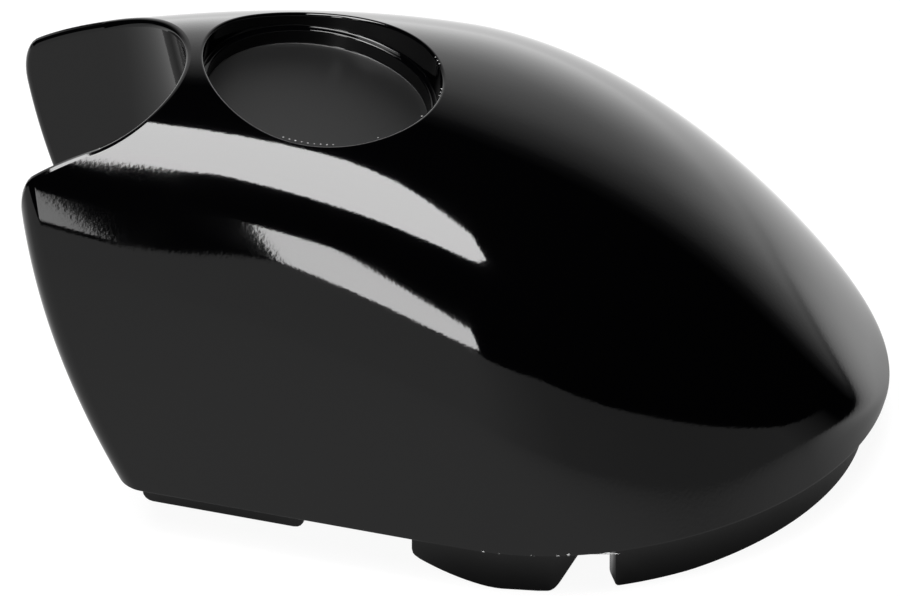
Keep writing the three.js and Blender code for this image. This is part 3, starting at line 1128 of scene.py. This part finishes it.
def moulded_plastic(finish, p):
    """Gloss black plastic, with the faint swirl and dust of a moulded face."""
    material = bpy.data.materials.new("gloss_black_plastic")
    material.use_nodes = True
    tree = material.node_tree
    tree.nodes.clear()
    shader = add_node(tree, "ShaderNodeBsdfPrincipled")
    output = add_node(tree, "ShaderNodeOutputMaterial")
    tree.links.new(shader.outputs["BSDF"], output.inputs["Surface"])
    shader.inputs["Base Color"].default_value = (*finish.colour, 1)
    shader.inputs["IOR"].default_value = 1.5
    where = add_node(tree, "ShaderNodeTexCoord")
    haze = add_node(tree, "ShaderNodeTexNoise")
    haze.inputs["Scale"].default_value = 900
    haze.inputs["Detail"].default_value = 4
    tree.links.new(where.outputs["Object"], haze.inputs["Vector"])
    spread = add_node(tree, "ShaderNodeMapRange")
    spread.inputs["To Min"].default_value = finish.gloss * 0.7
    spread.inputs["To Max"].default_value = finish.gloss * 1.5
    tree.links.new(haze.outputs["Fac"], spread.inputs["Value"])
    offset = add_node(tree, "ShaderNodeVectorMath", operation="SUBTRACT")
    tree.links.new(where.outputs["Object"], offset.inputs[0])
    offset.inputs[1].default_value = [v * MM for v in recess_origin(p)]
    turned = add_node(tree, "ShaderNodeVectorRotate", rotation_type="Y_AXIS")
    turned.inputs["Angle"].default_value = -p.recess_tilt
    tree.links.new(offset.outputs["Vector"], turned.inputs["Vector"])
    seat = add_node(tree, "ShaderNodeSeparateXYZ")
    tree.links.new(turned.outputs["Vector"], seat.inputs["Vector"])
    level = add_node(tree, "ShaderNodeMath", operation="COMPARE")
    tree.links.new(seat.outputs["Z"], level.inputs[0])
    level.inputs[1].default_value = -p.recess_depth * MM
    level.inputs[2].default_value = 0.03 * MM
    flat = add_node(tree, "ShaderNodeVectorMath", operation="MULTIPLY")
    flat.inputs[1].default_value = (1, 1, 0)
    tree.links.new(turned.outputs["Vector"], flat.inputs[0])
    reach = add_node(tree, "ShaderNodeVectorMath", operation="LENGTH")
    tree.links.new(flat.outputs["Vector"], reach.inputs[0])
    inside = maths(tree, "LESS_THAN", reach.outputs["Value"], (p.recess_radius + 0.1) * MM)
    dull = add_node(tree, "ShaderNodeMix", data_type="FLOAT")
    tree.links.new(maths(tree, "MULTIPLY", level.outputs["Value"], inside), dull.inputs[0])
    tree.links.new(spread.outputs["Result"], dull.inputs[2])
    dull.inputs[3].default_value = finish.seat
    tree.links.new(dull.outputs[0], shader.inputs["Roughness"])
    grain = add_node(tree, "ShaderNodeTexNoise")
    grain.inputs["Scale"].default_value = 5200
    grain.inputs["Detail"].default_value = 3
    tree.links.new(where.outputs["Object"], grain.inputs["Vector"])
    bump = add_node(tree, "ShaderNodeBump")
    bump.inputs["Strength"].default_value = 0.3
    bump.inputs["Distance"].default_value = 0.004 * MM
    tree.links.new(grain.outputs["Fac"], bump.inputs["Height"])
    tree.links.new(bump.outputs["Normal"], shader.inputs["Normal"])
    return material


def pale_plastic():
    """Pale plastic of torn flash and burrs. Its mottled pale colour is a painted highlight in place of their
    glints.
    """
    material = bpy.data.materials.new("glint_painted_plastic")
    material.use_nodes = True
    tree = material.node_tree
    shader = tree.nodes["Principled BSDF"]
    where = add_node(tree, "ShaderNodeTexCoord")
    mottle = add_node(tree, "ShaderNodeTexNoise")
    mottle.inputs["Scale"].default_value = 4000
    tree.links.new(where.outputs["Object"], mottle.inputs["Vector"])
    # Painted highlight: a mottled pale base colour stands in for the glints on the flash and burrs
    level = ramp(tree, mottle.outputs["Fac"], ((0.3, 0.05), (0.7, 0.5)))
    tree.links.new(level, shader.inputs["Base Color"])
    shader.inputs["Roughness"].default_value = 0.55
    return material


def flecks(name, spots, material):
    """Small irregular chips at points of the cap, as one piece. Spots hold a point and a size."""
    chance = np.random.default_rng(len(spots))
    made = []
    for point, size in spots:
        bpy.ops.object.select_all(action="DESELECT")
        bpy.ops.mesh.primitive_ico_sphere_add(subdivisions=2, radius=1)
        chip = bpy.context.object
        stretch = np.array(size) * MM
        for vertex in chip.data.vertices:
            rough = 1 + 0.22 * (chance.random() - 0.5)
            vertex.co = Vector([v * s * rough + q * MM for v, s, q in zip(vertex.co, stretch, point)])
        made.append(chip)
    only(made[0])
    for chip in made:
        chip.select_set(True)
    bpy.ops.object.join()
    made[0].name = name
    bpy.ops.object.shade_smooth_by_angle(angle=math.radians(50))
    made[0].data.materials.clear()
    made[0].data.materials.append(material)
    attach(made[0], BODY)
    return made[0]


class CAP_OT_shell(bpy.types.Operator):
    """Builds the moulded shell with its notch, recess and lips"""

    bl_idname = "cap.shell"
    bl_label = "Moulded shell"

    def execute(self, context):
        p = in_millimetres(context.scene.cap_shape)
        data, points, normals = outer_shell(p)
        shell = object_of(data, "cap_moulding")
        cavity = object_of(loft_mesh(p, p.wall), "cavity")
        boolean(cavity, notch_block(p, p.wall + NOTCH_EXTRA), "DIFFERENCE")
        boolean(cavity, recess_block(p), "DIFFERENCE")
        boolean(shell, cavity, "DIFFERENCE")
        plain, trimmed = lips(p)
        for band in trimmed + plain:
            piece = object_of(band, "lip")
            if band in trimmed:
                boolean(piece, object_of(loft_mesh(p, p.lip_cover), "core"), "INTERSECT")
            boolean(shell, piece, "UNION")
        only(shell)
        bpy.ops.object.shade_smooth_by_angle(angle=SMOOTH_ANGLE)
        corner_directions(shell.data, points, normals)
        shell.data.materials.clear()
        shell.data.materials.append(moulded_plastic(context.scene.cap_finish, p))
        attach(shell, BODY)
        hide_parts(NODE)
        return {"FINISHED"}


def ramp(tree, value, stops):
    """Grey level over a value, through stops of value and level."""
    low, high = stops[0][0], stops[-1][0]
    spread = add_node(tree, "ShaderNodeMapRange")
    spread.inputs["From Min"].default_value = low
    spread.inputs["From Max"].default_value = high
    tree.links.new(value, spread.inputs["Value"])
    levels = add_node(tree, "ShaderNodeValToRGB")
    tree.links.new(spread.outputs["Result"], levels.inputs["Fac"])
    elements = levels.color_ramp.elements
    for at, level in stops[1:-1]:
        elements.new((at - low) / (high - low)).color = (level, level, level, 1)
    for element, (_, level) in ((elements[0], stops[0]), (elements[-1], stops[-1])):
        element.color = (level, level, level, 1)
    return levels.outputs["Color"]


def maths(tree, operation, first, second):
    """A sum, product or other operation on two values."""
    node = add_node(tree, "ShaderNodeMath", operation=operation)
    for socket, value in zip(node.inputs, (first, second)):
        if isinstance(value, (int, float)):
            socket.default_value = value
        else:
            tree.links.new(value, socket)
    return node.outputs["Value"]


def surround_level(tree):
    """Brightness of the white table and its back, which falls away from straight behind."""
    where = add_node(tree, "ShaderNodeTexCoord").outputs["Object"]
    unit = add_node(tree, "ShaderNodeVectorMath", operation="NORMALIZE")
    tree.links.new(where, unit.inputs[0])
    heading = add_node(tree, "ShaderNodeSeparateXYZ")
    tree.links.new(unit.outputs["Vector"], heading.inputs["Vector"])
    spot = add_node(tree, "ShaderNodeSeparateXYZ")
    tree.links.new(where, spot.inputs["Vector"])
    away = add_node(tree, "ShaderNodeVectorMath", operation="LENGTH")
    tree.links.new(where, away.inputs[0])
    behind = ramp(tree, heading.outputs["Y"], BEHIND)
    front = ramp(tree, heading.outputs["X"], FRONT)
    facing = ramp(tree, heading.outputs["Y"], FRONT_SHARE)
    low = ramp(tree, spot.outputs["Z"], BEHIND_HEIGHT)
    behind = maths(tree, "MULTIPLY", maths(tree, "MULTIPLY", behind, BEHIND_LEVEL), low)
    far = maths(tree, "ADD", behind, maths(tree, "MULTIPLY", front, facing))
    # Painted shade: close to the cap the table's brightness follows NEAR, darker in front, and further away
    # the surround's brightness takes over
    near = maths(tree, "MULTIPLY", ramp(tree, spot.outputs["Y"], NEAR), NEAR_LEVEL)
    share = ramp(tree, away.outputs["Value"], NEAR_SHARE)
    kept = maths(tree, "MULTIPLY", near, maths(tree, "SUBTRACT", 1, share))
    return maths(tree, "ADD", kept, maths(tree, "MULTIPLY", far, share))


def light_material(name, strength=None):
    """Material of a light card. Without a strength it has the brightness of the surround."""
    material = bpy.data.materials.new(name)
    material.use_nodes = True
    tree = material.node_tree
    tree.nodes.clear()
    output = add_node(tree, "ShaderNodeOutputMaterial")
    light = add_node(tree, "ShaderNodeEmission")
    tree.links.new(light.outputs["Emission"], output.inputs["Surface"])
    if strength is None:
        tree.links.new(surround_level(tree), light.inputs["Strength"])
    else:
        light.inputs["Strength"].default_value = strength
    return material


def staged(name, points, faces, material):
    """A piece of the studio that only reflections and light see."""
    data = bpy.data.meshes.new(name)
    data.from_pydata([tuple(q) for q in points], [], faces)
    data.materials.append(material)
    made = object_of(data, name)
    made.visible_camera = False
    return made


def ray(side, roll):
    """Direction at an angle round from the camera's side over the top, and one sideways."""
    side, roll = math.radians(side), math.radians(roll)
    return Vector((math.sin(side), -math.cos(side) * math.cos(roll), math.cos(side) * math.sin(roll)))


def softbox(name, outline, strength):
    """A flat light whose corners lie in given directions from the cap."""
    rays = [ray(side, roll) for side, roll in outline]
    facing = sum(rays, Vector()).normalized()
    middle = Vector((0, 0, LIGHT_HEIGHT))
    points = [middle + q * (LIGHT_DISTANCE / q.dot(facing)) for q in rays]
    return staged(name, points, [tuple(range(len(points)))], light_material(name, strength))


class CAP_OT_flash(bpy.types.Operator):
    """Leaves the torn flash of the lower edge, the gate's stub and the burrs of the recess, in a pale colour
    that paints their glints
    """

    bl_idname = "cap.flash"
    bl_label = "Flash and burrs"

    def execute(self, context):
        p = in_millimetres(context.scene.cap_shape)
        chance = np.random.default_rng(7)
        edge_x = np.concatenate([np.arange(FLASH_START, FLASH_END, FLASH_STEP), FLASH_CHIPS])
        along = np.array([along_of(p, x) for x in edge_x])
        edge = place(p, along, np.full_like(along, 0.03))
        spots = []
        for point in edge:
            size = 0.035 + 0.06 * chance.random() ** 3
            shift = np.array([0, 0.04 + 0.03 * chance.random(), -0.03 * chance.random()])
            spots.append((point + shift, (size * 1.6, size * 0.7, size * 0.8)))
        gate_along = np.array([along_of(p, GATE_BLOB), along_of(p, GATE_STUB)])
        gate = place(p, gate_along, np.array([0.03, 0.005]))
        spots.append((gate[0] + (0, 0.06, 0), (0.12, 0.09, 0.09)))
        spots.append((gate[1] + (0, 0.05, -0.02), (1.3, 0.035, 0.03)))
        # Painted highlight: the flash and gate chips are real geometry, and their pale colour paints their
        # glints
        flecks("edge_flash", spots, pale_plastic())
        rim = np.radians(BURR_ANGLES)
        radius = p.recess_radius + p.recess_step + 0.02
        level = np.array([[radius * math.cos(a), radius * math.sin(a)] for a in rim])
        height = np.array([crown_height(p, f, s) for f, s in level])
        points = from_recess_frame(p, level[:, 0], level[:, 1], height)
        spots = [(q, (0.05, 0.03, 0.03)) for q in points]
        # Painted highlight: the burrs are real geometry, and their pale colour paints their glints
        flecks("rim_burrs", spots, bpy.data.materials["glint_painted_plastic"])
        return {"FINISHED"}


def crown_height(p, forward, across):
    """Height of the skin above the recess's origin plane, at a place of the recess's frame."""
    height = 0.0
    for _ in range(6):
        point = from_recess_frame(p, np.array([forward]), np.array([across]), np.array([height]))[0]
        x = np.array([point[0]])
        half = half_width(p, x, 0.0)[0]
        top = crown_rise(p, x, 0.0)[0]
        low, high = 0.3, 1.0
        for _ in range(30):
            up = (low + high) / 2
            draft = p.tail_draft + (p.nose_draft - p.tail_draft) * (point[0] / p.length + 0.5) ** 2
            wide = (1 - up**p.side_power) ** (1 / p.crown_power) * (half - math.tan(draft) * top * up)
            if wide > abs(point[1]):
                low = up
            else:
                high = up
        height += (p.edge + top * up - point[2]) * math.cos(p.recess_tilt)
    return height


class CAP_OT_studio(bpy.types.Operator):
    """Sets the floor, the backdrop, the softboxes and the camera"""

    bl_idname = "cap.studio"
    bl_label = "Studio"

    def execute(self, context):
        s = in_millimetres(context.scene.cap_studio)
        scene = context.scene
        scene.view_settings.view_transform = "Standard"
        world = bpy.data.worlds.new("studio")
        scene.world = world
        world.use_nodes = True
        tree = world.node_tree
        tree.nodes.clear()
        output = add_node(tree, "ShaderNodeOutputWorld")
        shown = add_node(tree, "ShaderNodeBackground")
        shown.inputs["Color"].default_value = (1, 1, 1, 1)
        dark = add_node(tree, "ShaderNodeBackground")
        dark.inputs["Color"].default_value = (0, 0, 0, 1)
        mix = add_node(tree, "ShaderNodeMixShader")
        path = add_node(tree, "ShaderNodeLightPath")
        tree.links.new(path.outputs["Is Camera Ray"], mix.inputs["Fac"])
        tree.links.new(dark.outputs["Background"], mix.inputs[1])
        tree.links.new(shown.outputs["Background"], mix.inputs[2])
        tree.links.new(mix.outputs["Shader"], output.inputs["Surface"])

        bpy.ops.object.select_all(action="DESELECT")
        bpy.ops.mesh.primitive_plane_add(size=1.6, location=(0, 0, 0))
        floor = context.object
        floor.name = "floor"
        floor.data.materials.append(floor_material())

        softbox("overhead_softbox", OVERHEAD, s.key)
        softbox("front_softbox", PATCH, s.fill)
        softbox("side_card", SIDE_CARD, s.side)
        low_edge, high_edge = [], []
        for azimuth in np.linspace(RISE[0][0], RISE[-1][0], RISE_STEPS + 1):
            turn, height = np.radians([azimuth, np.interp(azimuth, *zip(*RISE))])
            around = Vector((math.sin(turn), -math.cos(turn), 0)) * LIGHT_DISTANCE
            low_edge.append(around)
            high_edge.append(around + Vector((0, 0, LIGHT_HEIGHT + LIGHT_DISTANCE * math.tan(height))))
        count = RISE_STEPS + 1
        faces = [(k, count + k, count + k + 1, k + 1) for k in range(RISE_STEPS)]
        staged("front_rise", low_edge + high_edge, faces, light_material("front_rise"))
        wide, high = BACKDROP_SIZE
        points = [(x, BACKDROP_DISTANCE, z) for z in (0, high) for x in (-wide, wide)]
        staged("backdrop", points, [(0, 1, 3, 2)], light_material("backdrop"))

        camera_data = bpy.data.cameras.new("camera")
        camera_data.lens = s.lens
        camera_data.sensor_width = 36
        camera_data.clip_end = 50
        camera = bpy.data.objects.new("camera", camera_data)
        scene.collection.objects.link(camera)
        distance = s.lens / 36 * s.frame_width * MM
        away = Vector(
            (
                math.sin(s.azimuth) * math.cos(s.elevation),
                -math.cos(s.azimuth) * math.cos(s.elevation),
                math.sin(s.elevation),
            )
        )
        camera.location = Vector(s.aim) * MM + away * distance
        camera.rotation_mode = "QUATERNION"
        camera.rotation_quaternion = (-away).to_track_quat("-Z", "Y")
        scene.camera = camera
        return {"FINISHED"}


def floor_material():
    """White table, which stays white to the camera apart from a faint shadow."""
    material = bpy.data.materials.new("white_table")
    material.use_nodes = True
    tree = material.node_tree
    tree.nodes.clear()
    output = add_node(tree, "ShaderNodeOutputMaterial")
    plain = add_node(tree, "ShaderNodeEmission")
    shade = add_node(tree, "ShaderNodeAmbientOcclusion", samples=8)
    shade.inputs["Distance"].default_value = SHADE_REACH
    covered = maths(tree, "POWER", shade.outputs["AO"], SHADE_POWER)
    level = maths(tree, "MULTIPLY", surround_level(tree), covered)
    tree.links.new(level, plain.inputs["Strength"])
    faint = add_node(tree, "ShaderNodeBsdfDiffuse")
    faint.inputs["Color"].default_value = (TABLE_GREY, TABLE_GREY, TABLE_GREY, 1)
    bright = add_node(tree, "ShaderNodeEmission")
    bright.inputs["Strength"].default_value = TABLE_LIGHT
    both = add_node(tree, "ShaderNodeAddShader")
    mix = add_node(tree, "ShaderNodeMixShader")
    path = add_node(tree, "ShaderNodeLightPath")
    tree.links.new(faint.outputs["BSDF"], both.inputs[0])
    tree.links.new(bright.outputs["Emission"], both.inputs[1])
    tree.links.new(path.outputs["Is Camera Ray"], mix.inputs["Fac"])
    tree.links.new(plain.outputs["Emission"], mix.inputs[1])
    tree.links.new(both.outputs["Shader"], mix.inputs[2])
    tree.links.new(mix.outputs["Shader"], output.inputs["Surface"])
    return material


class CAP_PT_panel(bpy.types.Panel):
    """Lists the pieces of the cap"""

    bl_idname = "CAP_PT_panel"
    bl_label = "Brake lever cap"
    bl_space_type = "VIEW_3D"
    bl_region_type = "UI"
    bl_category = "Lever Cap"

    def draw(self, context):
        for operator in OPERATORS:
            self.layout.operator(operator.bl_idname)


OPERATORS = (CAP_OT_shell, CAP_OT_flash, CAP_OT_studio)
CLASSES = (CapShape, CapFinish, StudioSet, *OPERATORS, CAP_PT_panel)


def register():
    """Makes the classes and their settings known."""
    for kind in CLASSES:
        bpy.utils.register_class(kind)
    bpy.types.Scene.cap_shape = PointerProperty(type=CapShape)
    bpy.types.Scene.cap_finish = PointerProperty(type=CapFinish)
    bpy.types.Scene.cap_studio = PointerProperty(type=StudioSet)


def unregister():
    """Takes the classes and their settings away."""
    del bpy.types.Scene.cap_studio
    del bpy.types.Scene.cap_finish
    del bpy.types.Scene.cap_shape
    for kind in reversed(CLASSES):
        bpy.utils.unregister_class(kind)


def main():
    """Builds the cap and its studio."""
    register()
    bpy.ops.cap.shell()
    bpy.ops.cap.flash()
    bpy.ops.cap.studio()


if __name__ == "__main__":
    main()
